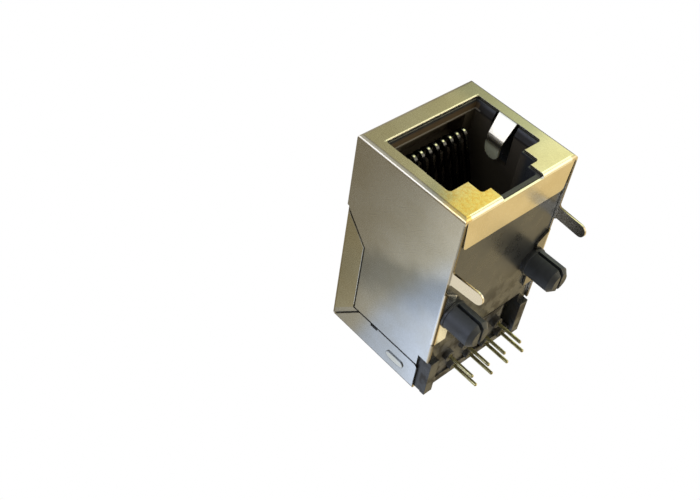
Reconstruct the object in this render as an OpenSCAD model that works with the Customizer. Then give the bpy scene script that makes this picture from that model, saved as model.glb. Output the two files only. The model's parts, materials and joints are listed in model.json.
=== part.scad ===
// Shielded modular jack for a printed circuit board. A folded sheet shield wraps a moulded
// housing. Formed contact wires run through a comb insert to a small inner board, and
// solder pins lead from that board down through a rear base.
//
// Frame: +X is to the right looking into the mouth, +Y runs from the mouth to the rear and
// +Z points away from the board. The origin is on the board's surface, midway between the
// two locating pegs. Depths are measured from the front face and heights from the shield's
// lower edge, and at() and up() turn them into the part's own frame.

/* [Shield] */
// Overall width of the shield
shield_w = 15.9; // [15.8:0.1:17]
// Height of the shield from its lower edge to its top
shield_h = 14.5; // [14.4:0.1:16]
// Length of the shield from front to rear
shield_l = 26.5; // [26.3:0.1:28]
// Thickness of the sheet
sheet_t = 0.25; // [0.2:0.05:0.3]
// Outer radius of the folds
fold_r = 0.45; // [0.4:0.01:0.55]
// Width of the seams between the panels
seam_w = 0.18; // [0.12:0.01:0.24]
// Height of the shield's lower edge above the board
standoff = 0.3; // [0.3:0.05:0.8]
// Depth of the pegs behind the front face
peg_setback = 13.9; // [13.7:0.1:14.1]

/* [Mouth] */
// Width of the mouth in the shield
mouth_w = 12.9; // [12.8:0.1:13.2]
// Height of the top of the mouth
mouth_top = 12.2; // [12.1:0.1:12.4]
// Height of the shoulders at the bottom of the wide part
mouth_floor = 3.6; // [3.5:0.1:3.7]
// Width of the upper step of the latch notch
notch_w = 8; // [7.6:0.1:8.4]
// Height of the bottom of the upper step
notch_floor = 1.8; // [1.6:0.05:1.9]
// Width of the lower step of the latch notch
slot_w = 5.65; // [5:0.05:6]
// Corner radius of the mouth
mouth_r = 0.35; // [0.1:0.05:0.4]

/* [Lip] */
// Length of the bottom lip
lip_l = 4.25; // [3.5:0.05:5]
// Width of the lip at its fold
lip_w = 15.1; // [14.5:0.1:15.2]
// Width of the lip at its free edge
lip_end_w = 14.5; // [13:0.1:14.8]
// Corner radius of the lip's free edge
lip_r = 0.5; // [0.2:0.1:1]

/* [Side panels] */
// Depth where the side panel's top edge starts to slope
slope_start = 9.3; // [9:0.1:9.8]
// Depth where the slope meets the top flap's lower edge
slope_end = 13; // [12.5:0.1:14]
// Height of the top flap on the sides
flap_h = 3.2; // [2.9:0.1:3.5]
// Width of the rear panel's flap on the sides
strip_w = 4.05; // [3.9:0.05:4.3]
// Corner radius of that flap's lower end
strip_r = 0.5; // [0.3:0.1:0.8]
// Height of the rear panel's lower edge
rear_lift = 1.25; // [1.2:0.05:1.6]
// Height of the step in the side panel's rear lower corner
rear_step = 1.4; // [1:0.1:1.4]
// Distance from the rear to where that step starts
step_l = 5.7; // [5.1:0.1:6.3]
// Height of the detent notch in the rear flap
detent_z = 7.5; // [7:0.1:8]
// Length of the detent notch
detent_l = 1; // [0.6:0.1:1.4]
// Length of the embossed rib on the rear flap
emboss_l = 2.6; // [1.5:0.1:3]
// Width of the embossed rib
emboss_w = 0.95; // [0.6:0.05:1.2]
// Height of the embossed rib above the sheet
emboss_h = 0.12; // [0.05:0.01:0.2]
// Height of the embossed rib's lower end
emboss_z = 3; // [2.5:0.1:4]

/* [Tabs] */
// Depth of the ground tabs' centre line
tab_y = 7.6; // [7.4:0.1:7.8]
// Width of the ground tabs
tab_w = 1.5; // [1.2:0.1:1.6]
// Length of the ground tabs below the shield
tab_l = 3.85; // [3.4:0.05:4]
// How far the tabs widen on each side at their roots
tab_flare = 0.2; // [0.1:0.05:0.4]
// Inward lean of the tabs in degrees
tab_lean = 4; // [0:0.5:6]
// Depth where the bottom retention flaps start
keep_start = 10.2; // [9.9:0.1:10.5]
// Depth where the bottom retention flaps end
keep_end = 17.9; // [17.4:0.1:18.3]
// Width of the bottom retention flaps
keep_w = 1.85; // [1.7:0.05:2]
// How far the retention flaps' front edges slant back
keep_slant = 1; // [0.7:0.1:1.3]
// Depth of the relief notch behind each ground tab
relief_d = 0.2; // [0.1:0.05:0.3]

/* [Spring fingers] */
// Height of the fingers' centre line
finger_z = 7.9; // [7.7:0.1:8.1]
// Height of a finger at its root
finger_h = 2.4; // [2:0.1:2.5]
// Height of a finger at its tip
finger_tip_h = 1.8; // [1.4:0.1:2]
// How far a finger leans into the mouth
finger_in = 1.5; // [1.2:0.1:1.7]
// Radius of the finger's bend
finger_r = 2; // [1:0.1:2.4]
// Depth of the middle of the finger's bend
finger_kink = 2.6; // [2.4:0.05:2.8]
// Depth of the finger's tip
finger_l = 4.7; // [4.5:0.05:5]
// How far the tip turns back out
finger_out = 0.3; // [0.2:0.05:0.4]

/* [Housing] */
// Clearance between the housing and the shield
shell_gap = 0.05; // [0.03:0.01:0.1]
// Width of the plug cavity
plug_w = 11.9; // [11.8:0.05:12]
// Height of the plug cavity's floor
plug_floor = 3.85; // [3.8:0.05:3.9]
// Height of the plug cavity's ceiling
plug_top = 11.8; // [11.7:0.05:11.9]
// Depth of the plug cavity
plug_l = 12.3; // [12:0.1:12.6]
// How far the plastic mouth stands inside the shield's mouth
mouth_inset = 0.15; // [0.1:0.05:0.2]
// Depth of the lead-in at the mouth
lead_l = 0.85; // [0.6:0.05:1.2]
// Thickness of the floor below the latch channel
floor_t = 0.45; // [0.4:0.05:0.6]
// Depth of the front wall that the plug's latch hooks behind
catch_l = 2.4; // [2:0.1:3]
// Wall left outside the spring pockets
pocket_wall = 0.3; // [0.25:0.05:0.4]
// Gap above and below a finger in its pocket
pocket_gap = 0.3; // [0.2:0.05:0.4]
// Length of the spring pockets behind the fingers' tips
pocket_end = 0.6; // [0.4:0.1:1]
// Length of the rear compartment, from the rear
bay_l = 11.3; // [10.9:0.1:11.5]
// Side wall of the rear compartment
bay_wall = 1.05; // [0.8:0.05:1.1]
// Roof over the insert and the rear compartment
roof_t = 0.6; // [0.5:0.05:0.7]
// Thickness of the floor of the rear compartment
bay_floor_t = 1.2; // [1:0.1:1.3]
// Length of the floor's opening for the pin block, from the rear
window_l = 6.9; // [6.5:0.1:7.5]
// Side rims beside that opening
rim_w = 1.2; // [1.1:0.05:1.4]

/* [Pegs and feet] */
// Distance of the pegs' centres from the shield's sides
peg_inset = 1.85; // [1.8:0.01:2]
// Diameter of the pegs
peg_d = 3.2; // [3:0.1:3.2]
// Length of the pegs below the board's surface
peg_l = 3.55; // [3.1:0.05:3.7]
// Width of the slot that splits each peg
peg_slot = 0.4; // [0.3:0.05:0.6]
// Bevel of the pegs' tips
peg_bevel = 0.5; // [0.2:0.05:0.6]
// Width of the shoulder ring round each peg
peg_ring = 0.1; // [0.05:0.05:0.2]
// Length of the feet at the rear corners
foot_l = 5.2; // [4.6:0.1:5.4]

/* [Contacts] */
// Distance between contacts
contact_pitch = 1.016; // [1:0.001:1.03]
// Width of a contact
contact_w = 0.38; // [0.32:0.01:0.44]
// Thickness of a contact
contact_t = 0.3; // [0.2:0.05:0.35]
// Depth of the centre of the front bend
bend_y = 2.95; // [2.85:0.05:3.1]
// Mean radius of the front bend
bend_r = 0.55; // [0.45:0.05:0.6]
// Height of the run through the insert
run_z = 11.5; // [11.4:0.05:11.55]
// Slope of the free arm
arm_slope = 20; // [18:0.5:21]
// Length of the free arm
arm_l = 10.4; // [10:0.1:10.6]
// Distance of the first row of legs from the rear
leg_back = 9.5; // [9.3:0.1:9.7]
// Distance between the two rows of legs
leg_step = 1.27; // [1.2:0.01:1.3]

/* [Insert] */
// Depth of the insert's front end
insert_y = 4.3; // [4.2:0.1:4.6]
// Margin of the insert beside the outer contacts
insert_side = 0.8; // [0.6:0.05:0.9]
// Depth of the wall from the insert's groove floor to its underside
insert_below = 0.4; // [0.3:0.05:0.5]
// Clearance round a contact in its groove
groove_gap = 0.04; // [0.03:0.01:0.06]
// Distance from the insert's rear end to the contacts' rear bends
insert_back = 0.25; // [0.2:0.05:0.4]
// Clearance of the insert in the housing
insert_gap = 0.05; // [0.03:0.01:0.08]
// Thickness of the comb that holds the free arms apart
comb_t = 1.4; // [1.2:0.1:1.4]
// Height of the comb's lower edge
comb_z = 6.5; // [6.2:0.1:6.7]

/* [Pins] */
// Distance between pins in one row
pin_pitch = 2.54; // [2.5:0.01:2.6]
// Distance between the two rows of pins
row_step = 2.54; // [2.5:0.01:2.6]
// Distance of the front row of pins from the rear
pin_back = 4.45; // [4.35:0.05:4.55]
// Diameter of the pins
pin_d = 0.4; // [0.36:0.01:0.46]
// Length of the pins below the board's surface
pin_l = 3.25; // [2.8:0.05:3.4]
// Bevel of the pins' tips
pin_bevel = 0.1; // [0.05:0.01:0.12]
// Height of the pins above the inner board
pin_stub = 0.5; // [0.3:0.1:0.8]

/* [Pin block] */
// Width of the part of the pin block that shows from below
block_w = 8.9; // [8.7:0.1:9.4]
// Length of that part, from the rear
block_l = 6; // [5.6:0.1:6.3]
// Height of the underside of that part
block_z = 0.6; // [0.5:0.05:0.7]
// Diameter of the boss round each pin
boss_d = 1.3; // [1.1:0.1:1.6]
// Height of the bosses' lower ends
boss_z = -0.2; // [-0.2:0.05:0]
// Thickness of the heel at the rear of the pin block
heel_t = 1; // [0.8:0.1:1.2]
// Height of the heel's lower edge
heel_z = 0.2; // [0.1:0.05:0.4]
// Height of the underside of the wing on the left
wing_z = 0.4; // [0.3:0.05:0.5]
// Length of the pin block's tray, from the rear
tray_l = 10.5; // [10.3:0.1:10.7]
// Height of the top of the tray
tray_top = 3; // [2.8:0.1:3.1]
// Thickness of the tray's walls
tray_wall = 0.3; // [0.2:0.05:0.4]
// Depth of the tray
tray_depth = 0.6; // [0.4:0.05:0.7]
// Radial clearance of a pin in the block and in the inner board
pin_gap = 0.03; // [0.02:0.01:0.05]

/* [Inner board] */
// Height of the underside of the inner board
board_z = 5.1; // [5:0.05:5.3]
// Thickness of the inner board
board_t = 0.8; // [0.6:0.1:1]
// Length of the inner board, from the rear
board_l = 10.3; // [10.1:0.1:10.5]
// Diameter of the holes for the contacts' legs
leg_hole_d = 0.7; // [0.66:0.02:0.76]
// Bore of the toroid cores
core_bore = 1.4; // [1:0.1:1.6]
// Height of the toroid cores
core_h = 1.9; // [1.6:0.1:1.9]
// Distance between neighbouring cores
core_gap = 0.12; // [0.1:0.02:0.3]
// Distance of the toroid cores' centres from the rear
core_back = 8.2; // [7.9:0.05:8.3]
// Length of a resistor
res_l = 1.6; // [1.4:0.1:1.7]
// Width of a resistor
res_w = 0.8; // [0.7:0.05:0.85]
// Height of a resistor
res_h = 0.45; // [0.35:0.05:0.6]
// Distance between resistors
res_pitch = 1.9; // [1.6:0.1:2]
// Length of the capacitor
cap_l = 3.2; // [3:0.1:3.4]
// Width and height of the capacitor
cap_w = 1.5; // [1.2:0.1:1.6]

/* [Hidden] */
$fn = 48;
// Number of contacts, and of solder pins
ways = 8;
front_y = -peg_setback;
rear_y = front_y + shield_l;
base_z = standoff;
top_z = base_z + shield_h;
// Depths of what is measured from the rear
step_start = shield_l - step_l;
bay_start = shield_l - bay_l;
window_start = shield_l - window_l;
leg_y = shield_l - leg_back;
pin_y = shield_l - pin_back;
block_y = shield_l - block_l;
tray_y = shield_l - tray_l;
board_y = shield_l - board_l;
core_y = shield_l - core_back;
half_w = shield_w / 2;
inner_w = half_w - sheet_t;
shell_w = inner_w - shell_gap;
// How far cuts run past a surface, and solids into each other
over = 1;
nip = 0.05;

// Depth behind the front face and height above the shield's lower edge, in the part's frame
function at(depth) = front_y + depth;
function up(height) = base_z + height;
function toward(angle) = [cos(angle), sin(angle)];

shell_bottom = base_z + sheet_t + shell_gap;
shell_top = top_z - sheet_t - shell_gap;
shell_front = front_y + sheet_t + shell_gap;
shell_rear = rear_y - sheet_t - shell_gap;
shell_r = fold_r - sheet_t - shell_gap;
// Outer radius of the retention flaps' folds, which clears the housing's sharp lower edges
keep_r = sheet_t + 2.5 * shell_gap;
roof_z = shell_top - roof_t;
bay_floor = shell_bottom + bay_floor_t;
bay_half = shell_w - bay_wall;
window_half = shell_w - rim_w;
peg_x = half_w - peg_inset;
row_half = (ways - 1) * contact_pitch / 2;
insert_half = row_half + contact_w / 2 + insert_side;
insert_bottom = up(run_z) - contact_t / 2 - insert_below;
insert_end = leg_y - bend_r - insert_back;
comb_y = plug_l + 2 * insert_gap;
finger_top = up(finger_z) + finger_h / 2;
finger_bottom = up(finger_z) - finger_h / 2;
tray_bottom = bay_floor + shell_gap;
tray_half = bay_half - shell_gap;
core_count = 4;
resistor_count = 4;
core_pitch = 2 * (tray_half - tray_wall) / core_count;
core_d = core_pitch - core_gap;
core_seat = up(tray_top) - tray_depth;
board_top = up(board_z) + board_t;

// Profile in depth and height, extruded across the jack
module along_x(x0, x1) {
    translate([x0, 0, 0]) rotate([90, 0, 90]) linear_extrude(x1 - x0) children();
}

// Profile in width and height, extruded along the jack's depth
module along_y(y0, y1) {
    translate([0, y1, 0]) rotate([90, 0, 0]) linear_extrude(y1 - y0) children();
}

// Profile in plan, extruded upwards
module along_z(z0, z1) {
    translate([0, 0, z0]) linear_extrude(z1 - z0) children();
}

module both_sides() {
    children();
    mirror([1, 0, 0]) children();
}

module block(lo, hi) {
    translate(lo) cube(hi - lo);
}

// Block that is centred across the jack
module wide_block(half, y0, y1, z0, z1) {
    block([-half, y0, z0], [half, y1, z1]);
}

module rect(lo, hi) {
    translate(lo) square(hi - lo);
}

module round_rect(lo, hi, r) {
    rect([lo[0] + r, lo[1]], [hi[0] - r, hi[1]]);
    rect([lo[0], lo[1] + r], [hi[0], hi[1] - r]);
    for (x = [lo[0] + r, hi[0] - r], y = [lo[1] + r, hi[1] - r]) translate([x, y]) circle(r);
}

// Straight band of width w from a to b
module bar(a, b, w) {
    turn = atan2(b[1] - a[1], b[0] - a[0]);
    translate(a) rotate(turn) translate([0, -w / 2]) square([norm(b - a), w]);
}

// Round band of mean radius r from angle a0 to angle a1
module bend(r, w, a0, a1) {
    reach = 3 * r;
    intersection() {
        difference() {
            circle(r + w / 2);
            circle(r - w / 2);
        }
        polygon(concat([[0, 0]], [for (i = [0:4]) reach * toward(a0 + (a1 - a0) * i / 4)]));
    }
}

// The shield's outline taken in by inset, its folded edges rounded to radius r. The top edges
// are folded only behind the sloping seam, and are sheet edges in front of it.
module folded_block(inset, r) {
    half = half_w - inset;
    y0 = front_y + inset;
    y1 = rear_y - inset;
    z0 = base_z + inset;
    z1 = top_z - inset;
    intersection() {
        along_z(z0 - over, z1 + over) round_rect([-half, y0], [half, y1], r);
        along_x(-half - over, half + over) round_rect([y0, z0], [y1, z1], r);
        union() {
            wide_block(half, y0 - over, at(slope_start), z0 - over, z1 + over);
            along_y(at(slope_start), y1 + over) round_rect([-half, z0 - over], [half, z1], r);
        }
    }
}

// Stepped mouth profile, taken in by inset, down to the height floor_z
module mouth_profile(inset, floor_z, r) {
    wide = mouth_w / 2 - inset;
    step = notch_w / 2 - inset;
    slot = slot_w / 2 - inset;
    round_rect([-wide, up(mouth_floor) + inset], [wide, up(mouth_top) - inset], r);
    round_rect([-step, up(notch_floor) + inset], [step, up(mouth_floor) + over], r);
    round_rect([-slot, floor_z], [slot, up(notch_floor) + over], r);
}

// Seams between the side panel, the top flap and the rear flap, in depth and height
module side_seams() {
    strip_y = rear_y - strip_w;
    strip_top = top_z - strip_w;
    flap_z = top_z - flap_h;
    bar([at(slope_start), top_z], [at(slope_end), flap_z], seam_w);
    bar([at(slope_end) - seam_w / 2, flap_z], [strip_y, flap_z], seam_w);
    bar([strip_y, base_z - over], [strip_y, flap_z + seam_w / 2], seam_w);
    bar([strip_y, strip_top], [rear_y + strip_w, top_z + strip_w], seam_w);
    rect([strip_y, up(detent_z)], [strip_y + 2 * seam_w, up(detent_z + detent_l)]);
}

// What is left open below the side panels: the relief behind the tab and the rear corner
module side_bottom() {
    tab_rear = at(tab_y) + tab_w / 2 + tab_flare;
    strip_y = rear_y - strip_w;
    rect([tab_rear, base_z - over], [at(keep_start), base_z + relief_d]);
    rect([at(step_start), base_z - over], [strip_y, up(rear_step)]);
    rect([strip_y, base_z - over], [rear_y + over, up(rear_lift)]);
    difference() {
        rect([strip_y, base_z], [strip_y + seam_w / 2 + strip_r, up(rear_lift) + strip_r]);
        translate([strip_y + seam_w / 2 + strip_r, up(rear_lift) + strip_r]) circle(strip_r);
    }
}

module lip() {
    root = front_y + fold_r - nip;
    tip = at(lip_l);
    half = lip_end_w / 2 - lip_r;
    along_z(base_z, base_z + sheet_t) {
        polygon([[-lip_w / 2, root], [lip_w / 2, root],
            [lip_end_w / 2, tip - lip_r], [-lip_end_w / 2, tip - lip_r]]);
        rect([-half, tip - 2 * lip_r], [half, tip]);
        both_sides() translate([half, tip - lip_r]) circle(lip_r);
    }
}

// Spring finger on the right, folded back from the mouth's edge into the mouth
module finger() {
    root = [mouth_w / 2, front_y + sheet_t / 2];
    kink = [mouth_w / 2 - finger_in, at(finger_kink)];
    tip = [mouth_w / 2 - finger_in + finger_out, at(finger_l)];
    lean = atan2(kink[1] - root[1], kink[0] - root[0]);
    rise = atan2(tip[1] - kink[1], tip[0] - kink[0]);
    cut = finger_r * tan((lean - rise) / 2);
    start = kink - cut * toward(lean);
    intersection() {
        along_z(finger_bottom - over, finger_top + over) {
            bar(root + [sheet_t, 0], root, sheet_t);
            translate(root) circle(sheet_t / 2);
            bar(root, start + nip * toward(lean), sheet_t);
            translate(start + finger_r * toward(lean - 90)) bend(finger_r, sheet_t, rise + 90, lean + 90);
            bar(kink + (cut - nip) * toward(rise), tip, sheet_t);
        }
        along_x(0, half_w) finger_outline();
    }
}

// Side view of a finger, tapered and round at its tip
module finger_outline() {
    tip_r = finger_tip_h / 2;
    tip_y = at(finger_l) - tip_r;
    polygon([[front_y, finger_bottom], [front_y, finger_top],
        [tip_y, up(finger_z) + tip_r], [tip_y, up(finger_z) - tip_r]]);
    translate([tip_y, up(finger_z)]) circle(tip_r);
}

// Tab on the right, leaning inward from the side panel's lower edge
module ground_tab() {
    r = tab_w / 2;
    root = r + tab_flare;
    translate([half_w, at(tab_y), base_z]) rotate([0, tab_lean, 0]) along_x(-sheet_t, 0) {
        rect([-r, r - tab_l], [r, nip]);
        polygon([[-r, -tab_flare], [-root, 0], [-root, nip], [root, nip], [root, 0], [r, -tab_flare]]);
        translate([0, r - tab_l]) circle(r);
    }
}

// Flap folded in below the housing, with a slanting front edge, cut out round the peg
module keep_flap() {
    edge = half_w - keep_w;
    difference() {
        intersection() {
            along_y(at(keep_start) - over, at(keep_end) + over) difference() {
                round_rect([-half_w, base_z], [half_w, up(mouth_floor)], keep_r);
                round_rect([-inner_w, base_z + sheet_t], [inner_w, up(mouth_top)], keep_r - sheet_t);
                rect([-half_w - over, base_z + keep_r], [half_w + over, up(mouth_top)]);
            }
            along_z(base_z - over, up(mouth_top)) polygon([[half_w + over, at(keep_start)],
                [half_w - keep_r, at(keep_start)], [edge, at(keep_start + keep_slant)],
                [edge, at(keep_end)], [half_w + over, at(keep_end)]]);
        }
        translate([peg_x, 0, 0]) cylinder(h = up(over), r = peg_d / 2 + shell_gap);
    }
}

// Embossed rib on the rear flap
module rib() {
    y = rear_y - strip_w / 2;
    along_x(half_w - sheet_t / 2, half_w + emboss_h) {
        bar([y, up(emboss_z) + emboss_w / 2], [y, up(emboss_z + emboss_l) - emboss_w / 2], emboss_w);
        for (z = [emboss_w / 2, emboss_l - emboss_w / 2])
            translate([y, up(emboss_z + z)]) circle(emboss_w / 2);
    }
}

module shield() color("darkkhaki") {
    difference() {
        folded_block(0, fold_r);
        folded_block(sheet_t, fold_r - sheet_t);
        along_y(front_y - over, front_y + sheet_t + nip) mouth_profile(0, base_z + fold_r, mouth_r);
        wide_block(slot_w / 2, front_y - over, front_y + fold_r, base_z - over, up(mouth_r + fold_r));
        wide_block(inner_w, front_y + fold_r, rear_y + over, base_z - over, base_z + fold_r);
        wide_block(inner_w, rear_y - strip_w, rear_y + over, base_z - over, up(rear_lift));
        both_sides() {
            along_x(inner_w - nip, half_w + over) side_seams();
            along_x(inner_w - nip, half_w + over) side_bottom();
            block([inner_w - seam_w, front_y + fold_r, top_z - fold_r],
                [inner_w, at(slope_start), top_z + over]);
            block([inner_w - nip, at(keep_start), base_z - over],
                [half_w + over, at(keep_end), base_z + keep_r]);
        }
    }
    lip();
    both_sides() {
        finger();
        ground_tab();
        keep_flap();
        rib();
    }
}

// Sloping lead-in from the mouth down to the plug cavity
module lead_in() {
    wide = mouth_w / 2 - mouth_inset;
    low = up(mouth_floor) + mouth_inset;
    high = up(mouth_top) - mouth_inset;
    y0 = shell_front - nip;
    y1 = shell_front + lead_l;
    intersection() {
        along_z(low - over, high + over)
            polygon([[-wide, y0], [wide, y0], [plug_w / 2, y1], [-plug_w / 2, y1]]);
        along_x(-wide, wide)
            polygon([[y0, low], [y0, high], [y1, up(plug_top)], [y1, up(plug_floor)]]);
    }
}

// Room for the plug, its latch, the spring fingers, the front bends and the insert
module plug_room() {
    channel_floor = shell_bottom + floor_t;
    step = notch_w / 2 - mouth_inset;
    lead_in();
    wide_block(plug_w / 2, shell_front + lead_l - nip, at(plug_l), up(plug_floor), up(plug_top));
    intersection() {
        along_y(front_y, at(catch_l) + nip) mouth_profile(mouth_inset, channel_floor, mouth_r);
        wide_block(step, front_y, at(plug_l), base_z, up(plug_floor) + nip);
    }
    wide_block(step, at(catch_l), at(plug_l), channel_floor, up(plug_floor) + nip);
    both_sides() block([plug_w / 2 - nip, front_y, finger_bottom - pocket_gap],
        [shell_w - pocket_wall, at(finger_l + pocket_end), finger_top + pocket_gap]);
    wide_block(insert_half + insert_gap, shell_front + lead_l + sheet_t, at(bay_start) + nip,
        insert_bottom - insert_gap, roof_z);
    wide_block(insert_half + insert_gap, at(plug_l) - nip, at(comb_y + comb_t) + insert_gap,
        up(comb_z) - insert_gap, roof_z);
}

// Split locating peg with the shoulder ring that stands on the board
module peg() {
    r = peg_d / 2;
    difference() {
        union() {
            cylinder(h = base_z - shell_gap, r = r + peg_ring);
            intersection() {
                cylinder(h = shell_bottom + nip, r = r);
                block([-r, -r, 0], [shell_w - peg_x, r, top_z]);
            }
            translate([0, 0, peg_bevel - peg_l]) cylinder(h = peg_l - peg_bevel + nip, r = r);
            translate([0, 0, -peg_l]) cylinder(h = peg_bevel, r1 = r - peg_bevel, r2 = r);
        }
        block([-peg_slot / 2, -r - over, -peg_l - over], [peg_slot / 2, r + over, 0]);
    }
}

module housing() color("dimgray") {
    difference() {
        folded_block(sheet_t + shell_gap, shell_r);
        plug_room();
        wide_block(bay_half, at(bay_start), shell_rear + over, bay_floor, roof_z);
        wide_block(window_half, at(window_start), shell_rear + over, base_z, bay_floor + nip);
    }
    both_sides() {
        translate([peg_x, 0, 0]) peg();
        block([window_half, shell_rear - foot_l, 0], [shell_w, shell_rear, shell_bottom + nip]);
    }
}

// Insert with a groove for each contact, and the comb that parts their free arms
module contact_carrier() color("gray") {
    slot = contact_w / 2 + groove_gap;
    difference() {
        union() {
            wide_block(insert_half, at(insert_y), at(insert_end), insert_bottom, roof_z - insert_gap);
            wide_block(insert_half, at(comb_y), at(comb_y + comb_t), up(comb_z), insert_bottom + nip);
        }
        for (i = [1:ways]) translate([contact_x(i), 0, 0]) {
            wide_block(slot, at(insert_y) - over, at(comb_y), insert_bottom - over,
                up(run_z) + contact_t / 2 + groove_gap);
            wide_block(slot, at(comb_y) - nip, at(insert_end) + over,
                up(run_z) - contact_t / 2 - groove_gap, up(run_z) + contact_t / 2 + groove_gap);
            wide_block(slot, at(comb_y) - over, at(comb_y + comb_t) + over,
                up(comb_z) - over, insert_bottom);
        }
    }
}

// Places of the contacts across the jack and of their legs, alternate legs one step further
// back
function contact_x(i) = (i - (ways + 1) / 2) * contact_pitch;
function leg_depth(i) = leg_y + (i + 1) % 2 * leg_step;

// Contact wire: a free arm sloping down from the front bend, a run through the insert and
// a leg down through the inner board
module contact(i) color("gold") {
    leg = leg_depth(i);
    arm_end = 270 - arm_slope;
    bend_z = run_z - bend_r;
    arm = [at(bend_y), up(bend_z)] + bend_r * toward(arm_end);
    x = contact_x(i);
    along_x(x - contact_w / 2, x + contact_w / 2) {
        translate([at(bend_y), up(bend_z)]) bend(bend_r, contact_t, 90, arm_end);
        bar(arm, arm + arm_l * toward(-arm_slope), contact_t);
        bar([at(bend_y), up(run_z)], [at(leg - bend_r), up(run_z)], contact_t);
        translate([at(leg - bend_r), up(bend_z)]) bend(bend_r, contact_t, 0, 90);
        bar([at(leg), up(bend_z)], [at(leg), up(board_z) - contact_t], contact_t);
    }
}

// Places of the solder pins, numbered along the jack's width, front and rear row in turn
function pin_x(i) = (i - (ways + 1) / 2) * pin_pitch / 2;
function pin_depth(i) = pin_y + (i + 1) % 2 * row_step;

// Solder pin: square wire inside the jack, round with a bevelled tip below it
module solder_pin(i) color("gold") {
    r = pin_d / 2;
    top = board_top + pin_stub;
    translate([pin_x(i), at(pin_depth(i)), 0]) {
        block([-r, -r, up(boss_z)], [r, r, top]);
        translate([0, 0, pin_bevel - pin_l]) cylinder(h = up(boss_z) + pin_l - pin_bevel, r = r);
        translate([0, 0, -pin_l]) cylinder(h = pin_bevel, r1 = r - pin_bevel, r2 = r);
    }
}

module pin_holes(z0, z1) {
    for (i = [1:ways]) translate([pin_x(i), at(pin_depth(i)), z0])
        cylinder(h = z1 - z0, r = pin_d / sqrt(2) + pin_gap);
}

// Base under the inner board, with a tray for the cores, a boss round each pin, a heel that
// closes the housing's rear opening and a wing that fills its left side
module pin_block() color("saddlebrown") {
    difference() {
        union() {
            wide_block(tray_half, at(tray_y), shell_rear, tray_bottom, up(tray_top));
            wide_block(block_w / 2, at(block_y), shell_rear, up(block_z), tray_bottom + nip);
            wide_block(window_half - shell_gap, shell_rear - heel_t, shell_rear,
                up(heel_z), tray_bottom + nip);
            block([shell_gap - window_half, at(window_start) + shell_gap, up(wing_z)],
                [0, shell_rear, tray_bottom + nip]);
            for (i = [1:ways]) translate([pin_x(i), at(pin_depth(i)), up(boss_z)])
                cylinder(h = block_z - boss_z + nip, d = boss_d);
        }
        wide_block(tray_half - tray_wall, at(tray_y) + tray_wall, at(core_y) + core_d / 2 + tray_wall,
            core_seat, up(tray_top) + over);
        pin_holes(up(boss_z) - over, up(tray_top) + over);
    }
}

module board() color("darkgreen") {
    difference() {
        wide_block(bay_half - 2 * shell_gap, at(board_y), shell_rear, up(board_z), board_top);
        pin_holes(up(board_z) - over, board_top + over);
        for (i = [1:ways]) translate([contact_x(i), at(leg_depth(i)), up(board_z) - over])
            cylinder(h = board_t + 2 * over, d = leg_hole_d);
    }
}

module core(i) color("darkslategray") {
    x = (i - (core_count + 1) / 2) * core_pitch;
    translate([x, at(core_y), core_seat + shell_gap / 2]) difference() {
        cylinder(h = core_h, d = core_d);
        translate([0, 0, -over]) cylinder(h = core_h + 2 * over, d = core_bore);
    }
}

module resistor(i) color("black") {
    x = (i - (resistor_count + 1) / 2) * res_pitch;
    translate([x, at(leg_y + leg_step) + res_l, board_top + res_h / 2])
        cube([res_w, res_l, res_h], center = true);
}

module capacitor() color("tan") {
    x = bay_half - cap_w;
    translate([x, at(leg_y + leg_step) + cap_l / 2, board_top + cap_w / 2])
        cube([cap_w, cap_l, cap_w], center = true);
}

shield();
housing();
contact_carrier();
pin_block();
board();
capacitor();
contact(1);  // contact_1
contact(2);  // contact_2
contact(3);  // contact_3
contact(4);  // contact_4
contact(5);  // contact_5
contact(6);  // contact_6
contact(7);  // contact_7
contact(8);  // contact_8
solder_pin(1);  // pin_1
solder_pin(2);  // pin_2
solder_pin(3);  // pin_3
solder_pin(4);  // pin_4
solder_pin(5);  // pin_5
solder_pin(6);  // pin_6
solder_pin(7);  // pin_7
solder_pin(8);  // pin_8
core(1);  // core_1
core(2);  // core_2
core(3);  // core_3
core(4);  // core_4
resistor(1);  // resistor_1
resistor(2);  // resistor_2
resistor(3);  // resistor_3
resistor(4);  // resistor_4
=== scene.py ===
"""Looks of the shielded modular board jack: plated sheet, moulded plastics, sprung contacts."""

import json
import math

import bpy
from mathutils import Matrix, Vector


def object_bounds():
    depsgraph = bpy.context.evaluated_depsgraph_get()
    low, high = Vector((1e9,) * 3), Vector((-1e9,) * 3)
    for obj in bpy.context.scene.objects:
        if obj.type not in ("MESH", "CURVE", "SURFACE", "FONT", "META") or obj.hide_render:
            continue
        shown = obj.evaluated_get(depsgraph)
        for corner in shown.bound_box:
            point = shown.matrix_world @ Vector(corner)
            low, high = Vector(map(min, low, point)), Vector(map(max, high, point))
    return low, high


MM = 0.001
PITCH = 1.016  # of the contact wires, in millimetres

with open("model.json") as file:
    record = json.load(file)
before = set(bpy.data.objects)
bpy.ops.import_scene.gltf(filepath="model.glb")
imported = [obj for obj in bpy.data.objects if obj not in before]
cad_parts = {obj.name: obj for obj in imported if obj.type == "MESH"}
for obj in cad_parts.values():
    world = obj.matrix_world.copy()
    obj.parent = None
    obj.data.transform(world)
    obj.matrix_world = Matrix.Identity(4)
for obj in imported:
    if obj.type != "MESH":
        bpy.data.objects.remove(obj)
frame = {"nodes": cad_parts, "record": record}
cad_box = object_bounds()


# ---------------------------------------------------------------- node helpers


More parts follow.
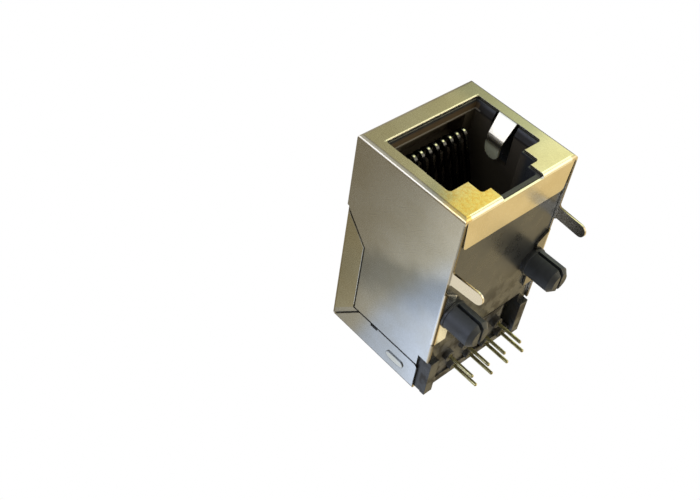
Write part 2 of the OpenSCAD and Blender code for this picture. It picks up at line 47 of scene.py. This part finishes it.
class Tree:
    """Short calls for building a node tree."""

    def __init__(self, tree):
        self.tree = tree
        tree.nodes.clear()

    def add(self, kind, **settings):
        node = self.tree.nodes.new(kind)
        for key, value in settings.items():
            setattr(node, key, value)
        return node

    def put(self, socket, value):
        if isinstance(value, bpy.types.NodeSocket):
            self.tree.links.new(value, socket)
        elif value is not None:
            if socket.type == "RGBA" and len(value) == 3:
                value = (*value, 1.0)
            socket.default_value = value

    def math(self, operation, *values, clamp=False):
        node = self.add("ShaderNodeMath", operation=operation, use_clamp=clamp)
        for socket, value in zip(node.inputs, values):
            self.put(socket, value)
        return node.outputs[0]

    def times(self, a, b):
        return self.math("MULTIPLY", a, b)

    def vector(self, operation, *values, out=0):
        node = self.add("ShaderNodeVectorMath", operation=operation)
        for socket, value in zip(node.inputs, values):
            self.put(socket, value)
        return node.outputs[out]

    def scaled(self, vector, factor):
        node = self.add("ShaderNodeVectorMath", operation="SCALE")
        self.put(node.inputs[0], vector)
        self.put(node.inputs["Scale"], factor)
        return node.outputs[0]

    def split(self, vector):
        node = self.add("ShaderNodeSeparateXYZ")
        self.put(node.inputs[0], vector)
        return node.outputs

    def fade(self, value, low, high, to_low=0.0, to_high=1.0, smooth=True):
        node = self.add("ShaderNodeMapRange")
        node.interpolation_type = "SMOOTHSTEP" if smooth else "LINEAR"
        for name, entry in (
            ("Value", value),
            ("From Min", low),
            ("From Max", high),
            ("To Min", to_low),
            ("To Max", to_high),
        ):
            self.put(node.inputs[name], entry)
        return node.outputs[0]

    def mix(self, factor, a, b, blend="MIX"):
        node = self.add("ShaderNodeMix", data_type="RGBA", blend_type=blend)
        self.put(node.inputs[0], factor)
        self.put(node.inputs[6], a)
        self.put(node.inputs[7], b)
        return node.outputs[2]

    def noise(self, vector, scale, detail=2.0, rough=0.5, distortion=0.0):
        node = self.add("ShaderNodeTexNoise")
        self.put(node.inputs["Vector"], vector)
        for name, entry in (
            ("Scale", scale),
            ("Detail", detail),
            ("Roughness", rough),
            ("Distortion", distortion),
        ):
            self.put(node.inputs[name], entry)
        return node.outputs["Fac"]

    def bump(self, height, strength, distance, normal=None):
        node = self.add("ShaderNodeBump")
        self.put(node.inputs["Height"], height)
        self.put(node.inputs["Strength"], strength)
        self.put(node.inputs["Distance"], distance)
        self.put(node.inputs["Normal"], normal)
        return node.outputs[0]

    def bevel(self, radius):
        node = self.add("ShaderNodeBevel", samples=6)
        self.put(node.inputs["Radius"], radius)
        return node.outputs[0]


def material(name):
    made = bpy.data.materials.new(name)
    made.use_nodes = True
    tree = Tree(made.node_tree)
    out = tree.add("ShaderNodeOutputMaterial")
    shader = tree.add("ShaderNodeBsdfPrincipled")
    tree.put(out.inputs["Surface"], shader.outputs[0])
    # the place on the jack, in millimetres
    place = tree.scaled(tree.add("ShaderNodeTexCoord").outputs["Object"], 1 / MM)
    return made, tree, shader.inputs, place


# ------------------------------------------------------------------- materials
# Bare numbers in the fades are places on the jack in millimetres: x across, y back, z up.


def plated_sheet():
    """Satin tin plate, mottled, with painted reflections, highlights and shade: warm at the mouth and
    cooler behind, a painted dark band across the sides.
    """
    made, t, s, place = material("plated_sheet")
    x, y, z = t.split(place)
    wander = t.times(t.math("SUBTRACT", t.noise(place, 0.25, 2.0), 0.5), 4.0)
    # painted reflection in the plate's colour: warm at the mouth and cooler behind, bluish white low on
    # the sides towards the rear, warmer low near the front
    climb = t.times(z, t.math("ADD", t.times(z, 0.075), 1.0))
    cool = t.fade(t.math("SUBTRACT", y, climb), -11.0, -3.5)
    tint = t.mix(cool, (0.67, 0.61, 0.46), (0.67, 0.71, 0.75))
    low = t.times(t.fade(z, 5.0, 0.5), t.fade(y, -5.0, 3.0))
    tint = t.mix(t.times(low, 0.5), tint, (0.84, 0.88, 0.93))
    near = t.times(t.fade(z, 7.0, 1.0), t.fade(y, -7.0, -12.0))
    tint = t.mix(t.times(near, 0.6), tint, (0.80, 0.70, 0.50))
    clouds = t.noise(place, 0.22, 3.0, 0.55)
    tint = t.mix(t.fade(clouds, 0.35, 0.7), tint, t.mix(1.0, tint, (0.92, 0.90, 0.85), "MULTIPLY"))

    # a broad soft painted dark reflection band that slants back across each side, and a painted golden
    # highlight by the mouth
    along = t.math("ADD", t.math("SUBTRACT", y, t.times(z, 0.5)), wander)
    painted_dark_band = t.times(t.fade(along, -7.6, -4.6), t.fade(along, 2.5, -3.6))
    painted_dark_band = t.times(painted_dark_band, t.fade(t.math("ABSOLUTE", x), 7.0, 7.4))
    painted_dark_band = t.times(painted_dark_band, t.fade(z, 11.65, 11.55, 0.3, 1.0))
    tint = t.mix(t.times(painted_dark_band, 0.75), tint, t.mix(1.0, tint, (0.50, 0.53, 0.56), "MULTIPLY"))
    # painted highlight, mottled gold, on the lower left corner of the mouth's face
    painted_corner_highlight = t.times(
        t.fade(t.vector("DISTANCE", place, (-5.4, -13.9, 2.0), out=1), 3.8, 1.8),
        t.fade(y, -13.4, -13.7),
    )
    gold = t.mix(t.fade(t.noise(place, 2.8, 5.0, 0.75), 0.40, 0.58), (0.95, 0.63, 0.20), (1.0, 0.83, 0.43))
    tint = t.mix(t.times(painted_corner_highlight, 0.85), tint, gold)

    # painted shade darkens the mouth's face up the right side and down the left, and a painted warm
    # reflection yellows it low down, left of the middle
    face = t.fade(y, -13.6, -13.8)
    right = t.times(t.fade(x, 4.0, 6.5), t.fade(z, 3.0, 6.0))
    left = t.times(
        t.fade(x, -5.5, -7.0),
        t.times(t.fade(z, 2.5, 3.5), t.fade(z, 7.0, 4.5)),
    )
    darker = t.times(face, t.math("ADD", right, left))
    tint = t.mix(darker, tint, t.mix(1.0, tint, (0.74, 0.78, 0.80), "MULTIPLY"))
    painted_warm_low = t.times(face, t.times(t.fade(z, 4.0, 2.0), t.fade(x, 3.0, -1.0)))
    tint = t.mix(painted_warm_low, tint, t.mix(1.0, tint, (1.02, 0.95, 0.66), "MULTIPLY"))

    # the flaps along the top of each side are painted warmer, a painted reflection
    flap = t.times(t.fade(z, 11.55, 11.65), t.fade(t.math("ABSOLUTE", x), 7.6, 7.7))
    flap = t.times(flap, t.fade(t.math("ADD", y, z), 10.6, 10.8))
    flap = t.times(flap, t.fade(t.math("SUBTRACT", y, z), -3.0, -3.2))
    tint = t.mix(flap, tint, t.mix(1.0, tint, (0.97, 0.92, 0.72), "MULTIPLY"))
    fine = t.noise(place, 4.5, 2.0, 0.6)
    speckle = t.mix(t.fade(fine, 0.3, 0.7, smooth=False), (0.93,) * 3, (1.0,) * 3)
    tint = t.mix(1.0, tint, speckle, "MULTIPLY")

    # painted light and shade underneath: the left tab and flap are painted bright and the right ones dark,
    # the sides' lower edges a painted warm sheen, and the sides' lower cut edges painted dark as shade
    below = t.times(t.fade(z, 0.65, 0.45), t.fade(y, -9.0, -8.7))
    hung = t.fade(t.math("ABSOLUTE", x), 7.4, 7.7)
    painted_left_underside = t.mix(hung, (0.91, 0.94, 0.98), (0.70, 0.57, 0.37))
    tint = t.mix(
        below,
        tint,
        t.mix(t.fade(x, -1.0, 1.0), painted_left_underside, t.mix(hung, (0.22, 0.20, 0.16), (0.90, 0.80, 0.64))),
    )
    # painted shade on the sides' cut edges low down, and on a strip along the bottom of each side
    flat = t.vector("ABSOLUTE", t.add("ShaderNodeNewGeometry").outputs["True Normal"])
    facing = t.split(flat)
    cut = t.times(t.fade(t.math("ABSOLUTE", x), 7.66, 7.70), t.fade(facing[0], 0.7, 0.5))
    cut = t.times(cut, t.fade(z, 2.2, 1.9))
    cut = t.times(cut, t.fade(y, -13.3, -13.2))
    hem = t.times(
        t.fade(t.math("ABSOLUTE", x), 7.8, 7.9),
        t.times(t.fade(z, 0.5, 0.4), t.fade(z, 0.2, 0.3)),
    )
    hem = t.times(hem, t.times(t.fade(y, -13.3, -13.2), 0.6))
    tint = t.mix(t.math("ADD", cut, hem, clamp=True), tint, (0.16, 0.13, 0.08))

    # painted highlights on the cut edge round the mouth and along the fold below it, and painted shade
    # along the seams of the sides
    rim = t.times(t.fade(facing[2], 0.5, 0.7), t.fade(z, 1.4, 1.6))
    brow = t.times(t.fade(z, 12.45, 12.49), t.fade(z, 12.66, 12.60))
    rim = t.times(t.math("MAXIMUM", rim, brow), t.fade(y, -13.6, -13.62))
    rim = t.times(rim, t.fade(t.math("ABSOLUTE", x), 6.7, 6.5))
    tint = t.mix(rim, tint, (0.98, 0.92, 0.74))
    # painted highlight along the fold under the mouth
    fold = t.times(t.fade(z, 0.80, 0.70), t.fade(y, -13.42, -13.50))
    fold = t.times(fold, t.fade(t.math("ABSOLUTE", x), 7.2, 7.0))
    tint = t.mix(fold, tint, (0.98, 0.94, 0.80))
    # painted shade in the seams of the sides, with a painted highlight on the top flaps' edges in front
    turned = t.vector(
        "DOT_PRODUCT",
        t.bevel(0.14 * MM),
        t.add("ShaderNodeNewGeometry").outputs["True Normal"],
        out=1,
    )
    seam = t.times(t.fade(turned, 0.99, 0.90), t.fade(t.math("ABSOLUTE", x), 7.6, 7.7))
    seam = t.times(seam, t.times(t.fade(z, 0.9, 1.3), t.fade(z, 14.5, 14.2)))
    seam = t.times(seam, t.times(t.fade(y, -5.2, -4.8), t.fade(y, 12.3, 12.0)))
    lit = t.times(flap, t.fade(y, 8.3, 8.0))
    tint = t.mix(t.times(seam, 0.9), tint, t.mix(lit, (0.05, 0.045, 0.04), (0.98, 0.96, 0.90)))

    # painted highlight on the embossed rib on each rear flap
    rib = t.vector("DISTANCE", t.vector("MULTIPLY", place, (0.0, 1.0, 0.3)), (0.0, 10.58, 1.38), out=1)
    rib = t.times(t.fade(rib, 0.42, 0.34), t.fade(t.math("ABSOLUTE", x), 7.9, 7.95))
    tint = t.mix(t.times(rib, 0.55), tint, (0.93, 0.90, 0.74))

    # the fingers' tips are rubbed matt
    tip = t.times(t.fade(t.math("ABSOLUTE", x), 6.3, 6.0), t.fade(y, -11.4, -10.4))
    tip = t.times(tip, t.times(t.fade(z, 3.0, 4.0), t.fade(z, 12.0, 11.0)))
    tip = t.times(tip, t.fade(y, -8.0, -8.6))
    t.put(s["Base Color"], t.mix(tip, tint, (0.95, 0.97, 0.72)))
    t.put(s["Metallic"], t.fade(tip, 0.0, 1.0, 1.0, 0.25, smooth=False))
    rolled = t.noise(t.vector("MULTIPLY", place, (6.0, 0.5, 6.0)), 3.0, 3.0, 0.6)
    grain = t.noise(place, 14.0, 3.0, 0.65)
    rough = t.math("ADD", t.fade(grain, 0.3, 0.7, 0.20, 0.27), t.times(rolled, 0.03))
    t.put(s["Roughness"], t.math("ADD", rough, t.times(tip, 0.3)))
    edge = t.bevel(t.fade(rim, 0.0, 1.0, 0.05 * MM, 0.30 * MM, smooth=False))
    t.put(s["Normal"], t.bump(grain, 0.10, 0.01 * MM, t.bump(rolled, 0.10, 0.01 * MM, edge)))
    return made


def moulded(name, colour, rough, wear=(0.09, 0.085, 0.075), inner=None):
    """Moulded plastic with flow marks, a fine skin, some dust and darker patches underneath. Given inner,
    the pegs are painted lighter as if lit, and the mouth is matt and painted browner inside as painted
    light, with painted shade on its right wall and a painted sheen on its lead-in.
    """
    made, t, s, place = material(name)
    x, y, z = t.split(place)
    flow = t.noise(place, 0.35, 3.0, 0.6, 0.8)
    skin = t.noise(place, 9.0, 4.0, 0.6)
    dust = t.times(t.fade(t.noise(place, 5.0, 6.0, 0.75), 0.55, 0.78), 0.6)
    tint = t.mix(dust, t.mix(t.fade(flow, 0.3, 0.7), colour, [c * 1.45 for c in colour]), wear)
    # darker patches at random on the underside, towards the rear
    dark_patches = t.fade(t.noise(place, 0.5, 4.0, 0.6), 0.45, 0.60)
    dark_patches = t.times(dark_patches, t.times(t.fade(z, 1.2, 0.9), t.fade(y, -3.0, 5.0)))
    tint = t.mix(t.times(dark_patches, 0.8), tint, (0.030, 0.024, 0.017))
    deep = 0.0
    if inner is not None:
        # the pegs are painted lighter and bluer, as if lit
        pegs = t.fade(z, 0.2, -0.1)
        tint = t.mix(pegs, tint, t.mix(1.0, tint, (1.35, 1.42, 1.50), "MULTIPLY"))
        # inside the mouth: the inner colour is painted light, with painted shade on the right wall
        deep = t.times(t.fade(z, 3.0, 3.9), t.fade(y, -13.5, -13.2))
        deep = t.times(deep, t.fade(t.math("ABSOLUTE", x), 6.6, 6.4))
        lead = t.times(t.fade(z, 11.6, 11.8), t.fade(y, -12.6, -12.8))
        inner = t.mix(
            t.times(t.fade(x, 5.4, 5.7), t.fade(y, -12.4, -12.7)),
            inner,
            (0.018, 0.015, 0.012),
        )
        # a painted brown sheen on the lead-in under the mouth's top edge, and a painted highlight line at
        # its inner edge
        brink = t.fade(t.math("ABSOLUTE", t.math("ADD", y, 12.72)), 0.14, 0.06)
        shelf = t.mix(brink, (0.11, 0.072, 0.036), (0.32, 0.30, 0.27))
        lit = t.math("MAXIMUM", lead, t.times(brink, t.fade(z, 11.3, 11.5)))
        tint = t.mix(deep, tint, t.mix(lit, inner, shelf))
    t.put(s["Base Color"], tint)
    uneven = t.math("ADD", flow, t.times(skin, 0.5))
    uneven = t.fade(uneven, 0.4, 1.0, rough - 0.07, rough + 0.10)
    uneven = t.math("ADD", uneven, t.times(t.math("MAXIMUM", dark_patches, deep), 0.25))
    t.put(s["Roughness"], t.math("ADD", uneven, t.fade(z, 0.2, -0.1, 0.0, 0.14)))
    t.put(s["Normal"], t.bump(skin, 0.25, 0.02 * MM, t.bevel(0.06 * MM)))
    return made


def plated_wire(name, bright, darker, rough, glint_at=None):
    """Plated wire, duller in patches. Given glint_at, a painted glint there on each wire, dim painted
    reflections round it, and painted shade further off.
    """
    made, t, s, place = material(name)
    patch = t.noise(place, 1.3, 3.0, 0.6)
    tint = t.mix(t.fade(patch, 0.35, 0.65), bright, darker)
    if glint_at is not None:
        # painted glint at glint_at, narrowed to each wire's middle, dim painted reflections near it,
        # painted shade elsewhere
        away = t.vector("DISTANCE", t.vector("MULTIPLY", place, (0.0, 1.0, 1.0)), glint_at, out=1)
        across = t.split(t.scaled(place, 1 / PITCH))[0]
        beside = t.math("ABSOLUTE", t.math("SUBTRACT", t.math("FRACT", across), 0.5))
        away = t.math("ADD", away, t.fade(beside, 0.06, 0.16, 0.0, 0.2))
        tint = t.mix(
            t.fade(away, 0.05, 0.18),
            bright,
            t.mix(t.fade(away, 0.5, 1.1), (0.11, 0.11, 0.115), darker),
        )
    t.put(s["Base Color"], tint)
    t.put(s["Metallic"], 1.0)
    t.put(s["Roughness"], t.fade(patch, 0.3, 0.7, rough - 0.05, rough + 0.1))
    drawn = t.noise(t.vector("MULTIPLY", place, (12.0, 1.0, 1.0)), 4.0, 2.0)
    t.put(s["Normal"], t.bump(drawn, 0.08, 0.01 * MM, t.bevel(0.03 * MM)))
    return made


def laminate():
    """Green solder mask over glass cloth."""
    made, t, s, place = material("laminate")
    weave = t.add("ShaderNodeTexChecker")
    t.put(weave.inputs["Vector"], place)
    t.put(weave.inputs["Scale"], 2.5)
    t.put(weave.inputs["Color1"], (0.030, 0.150, 0.062))
    t.put(weave.inputs["Color2"], (0.036, 0.170, 0.070))
    shade = t.fade(t.noise(place, 0.8, 3.0), 0.3, 0.7)
    t.put(s["Base Color"], t.mix(shade, weave.outputs[0], (0.024, 0.125, 0.050)))
    t.put(s["Roughness"], 0.32)
    t.put(s["Normal"], t.bump(weave.outputs[1], 0.15, 0.01 * MM))
    return made


def sintered(name, colour, fleck, rough):
    """Sintered body with a speckled, slightly rough skin."""
    made, t, s, place = material(name)
    grit = t.noise(place, 12.0, 5.0, 0.7)
    t.put(s["Base Color"], t.mix(t.fade(grit, 0.5, 0.75), colour, fleck))
    t.put(s["Roughness"], t.fade(grit, 0.3, 0.7, rough - 0.08, rough + 0.08))
    t.put(s["Normal"], t.bump(grit, 0.25, 0.02 * MM, t.bevel(0.05 * MM)))
    return made


FINISHES = {
    "plated_sheet": plated_sheet(),
    "black_plastic": moulded("black_plastic", (0.038, 0.041, 0.046), 0.27, inner=(0.080, 0.066, 0.048)),
    "insert_plastic": moulded("insert_plastic", (0.040, 0.034, 0.028), 0.45, inner=(0.075, 0.060, 0.045)),
    "base_plastic": moulded("base_plastic", (0.104, 0.106, 0.115), 0.44),
    # the gold contacts' dark colour is painted shade on the arms, with painted glints at their front bends
    "gold_plate": plated_wire(
        "gold_plate", (0.95, 0.88, 0.66), (0.035, 0.030, 0.026), 0.25, glint_at=(0.0, -11.62, 11.05)
    ),
    "pin_plate": plated_wire("pin_plate", (0.72, 0.66, 0.34), (0.34, 0.30, 0.16), 0.32),
    "laminate": laminate(),
    "ferrite": sintered("ferrite", (0.035, 0.036, 0.038), (0.07, 0.07, 0.075), 0.6),
    "chip": sintered("chip", (0.02, 0.02, 0.022), (0.04, 0.04, 0.04), 0.4),
    "ceramic": sintered("ceramic", (0.50, 0.37, 0.24), (0.58, 0.46, 0.32), 0.5),
}

for subpart in frame["record"]["subparts"]:
    piece = frame["nodes"][subpart["node"]]
    for slot in piece.material_slots:
        slot.link = "DATA"
        slot.material = FINISHES[subpart["material_slot"]]


# ------------------------------------------------------- floor, light and camera

FLOOR_Z = cad_box[0][2]
FLOOR_HALF = 0.6


def make_floor():
    """Pale floor that shows from above, with the jack's shadow, and lets all other rays through."""
    mesh = bpy.data.meshes.new("floor")
    corners = [(x * FLOOR_HALF, y * FLOOR_HALF, FLOOR_Z) for x, y in ((-1, -1), (1, -1), (1, 1), (-1, 1))]
    mesh.from_pydata(corners, [], [(0, 1, 2, 3)])
    floor = bpy.data.objects.new("floor", mesh)
    bpy.context.scene.collection.objects.link(floor)
    made = bpy.data.materials.new("floor")
    made.use_nodes = True
    t = Tree(made.node_tree)
    out = t.add("ShaderNodeOutputMaterial")
    cloth = t.add("ShaderNodeBsdfDiffuse")
    t.put(cloth.inputs["Color"], (0.86, 0.86, 0.85))
    glow = t.add("ShaderNodeEmission")
    t.put(glow.inputs["Color"], (0.90, 0.91, 0.93))
    pale = t.add("ShaderNodeMixShader")
    for socket, value in zip(pale.inputs, (0.55, cloth.outputs[0], glow.outputs[0])):
        t.put(socket, value)
    clear = t.add("ShaderNodeBsdfTransparent")
    shown = t.times(
        t.add("ShaderNodeLightPath").outputs["Is Camera Ray"],
        t.math("SUBTRACT", 1.0, t.add("ShaderNodeNewGeometry").outputs["Backfacing"]),
    )
    mix = t.add("ShaderNodeMixShader")
    for socket, value in zip(mix.inputs, (shown, clear.outputs[0], pale.outputs[0])):
        t.put(socket, value)
    t.put(out.inputs["Surface"], mix.outputs[0])
    mesh.materials.append(made)


# Soft panels of the studio: direction, angles (degrees) where each starts to fade and ends, colour
PANELS = (
    ((-0.65, 0.74, -0.04), 22, 30, (0.90, 1.03, 1.26)),
    ((0.60, 0.66, -0.45), 18, 55, (0.77, 0.62, 0.335)),
    ((0.78, -0.60, 0.10), 16, 24, (1.10, 1.24, 0.77)),
    ((0.70, -0.62, 0.35), 8, 40, (0.20, 0.21, 0.145)),
    ((0.50, -0.45, -0.74), 16, 36, (1.45, 1.35, 1.05)),
    ((-0.50, -0.75, 0.30), 15, 45, (0.38, 0.43, 0.50)),
    ((0.0, 0.0, 1.0), 10, 60, (0.35, 0.36, 0.38)),
    ((1.0, 0.0, 0.10), 14, 40, (0.12, 0.16, 0.24)),
    ((0.0, 1.0, 0.15), 10, 32, (0.10, 0.13, 0.20)),
    ((-1.0, -0.1, 0.10), 12, 36, (0.12, 0.15, 0.20)),
    ((0.0, -1.0, 0.10), 12, 36, (0.10, 0.13, 0.18)),
)
AMBIENT = (0.19, 0.165, 0.115)

# Seen from the lower left, in front of the mouth, with the jack turned on its back
CAMERA_PLACE = (-61.79, -73.73, -35.08)  # millimetres
CAMERA_AZIMUTH, CAMERA_ELEVATION, CAMERA_ROLL = 35.75, 27.79, 48.07  # degrees
CAMERA_LENS = 50.79  # millimetres, on a sensor 36 mm wide


def make_world():
    """White background to the camera, and a dim studio with soft panels to every other ray."""
    world = bpy.data.worlds.new("studio")
    bpy.context.scene.world = world
    world.use_nodes = True
    t = Tree(world.node_tree)
    aim = t.vector("NORMALIZE", t.add("ShaderNodeTexCoord").outputs["Generated"])
    total = AMBIENT
    for direction, inner, outer, colour in PANELS:
        near = t.vector("DOT_PRODUCT", aim, Vector(direction).normalized(), out=1)
        share = t.fade(near, math.cos(math.radians(outer)), math.cos(math.radians(inner)))
        total = t.vector("ADD", total, t.scaled(colour, share))
    studio = t.add("ShaderNodeBackground")
    t.put(studio.inputs["Color"], total)
    white = t.add("ShaderNodeBackground")
    t.put(white.inputs["Color"], (1.0, 1.0, 1.0))
    mix = t.add("ShaderNodeMixShader")
    seen = t.add("ShaderNodeLightPath").outputs["Is Camera Ray"]
    for socket, value in zip(mix.inputs, (seen, studio.outputs[0], white.outputs[0])):
        t.put(socket, value)
    t.put(t.add("ShaderNodeOutputWorld").inputs["Surface"], mix.outputs[0])


def area_lamp(name, direction, distance, size, radiance, colour):
    """Square soft lamp aimed at the jack, given by the brightness of its face."""
    lamp = bpy.data.lights.new(name, "AREA")
    lamp.shape = "SQUARE"
    lamp.size = size
    lamp.energy = radiance * math.pi * size * size
    lamp.color = colour
    made = bpy.data.objects.new(name, lamp)
    away = Vector(direction).normalized()
    made.location = away * distance
    made.rotation_euler = away.to_track_quat("Z", "Y").to_euler()
    bpy.context.scene.collection.objects.link(made)


def make_camera():
    azimuth, elevation, roll = (
        math.radians(angle) for angle in (CAMERA_AZIMUTH, CAMERA_ELEVATION, CAMERA_ROLL)
    )
    forward = Vector((
        math.cos(elevation) * math.sin(azimuth),
        math.cos(elevation) * math.cos(azimuth),
        math.sin(elevation),
    ))
    level = forward.cross(Vector((0, 0, 1))).normalized()
    upright = level.cross(forward)
    up = upright * math.cos(roll) + level * math.sin(roll)
    right = forward.cross(up)
    lens = bpy.data.cameras.new("camera")
    lens.lens = CAMERA_LENS
    lens.sensor_width = 36.0
    lens.clip_start = 0.005
    lens.clip_end = 10.0
    camera = bpy.data.objects.new("camera", lens)
    turn = Matrix((right, up, -forward)).transposed().to_4x4()
    camera.matrix_world = Matrix.Translation(Vector(CAMERA_PLACE) * MM) @ turn
    bpy.context.scene.collection.objects.link(camera)
    bpy.context.scene.camera = camera


make_floor()
make_world()
area_lamp(
    "key", direction=(-0.86, -0.28, 0.44), distance=0.30, size=0.13, radiance=2.0, colour=(0.92, 1.0, 1.35)
)
make_camera()
bpy.context.scene.view_settings.view_transform = "Standard"
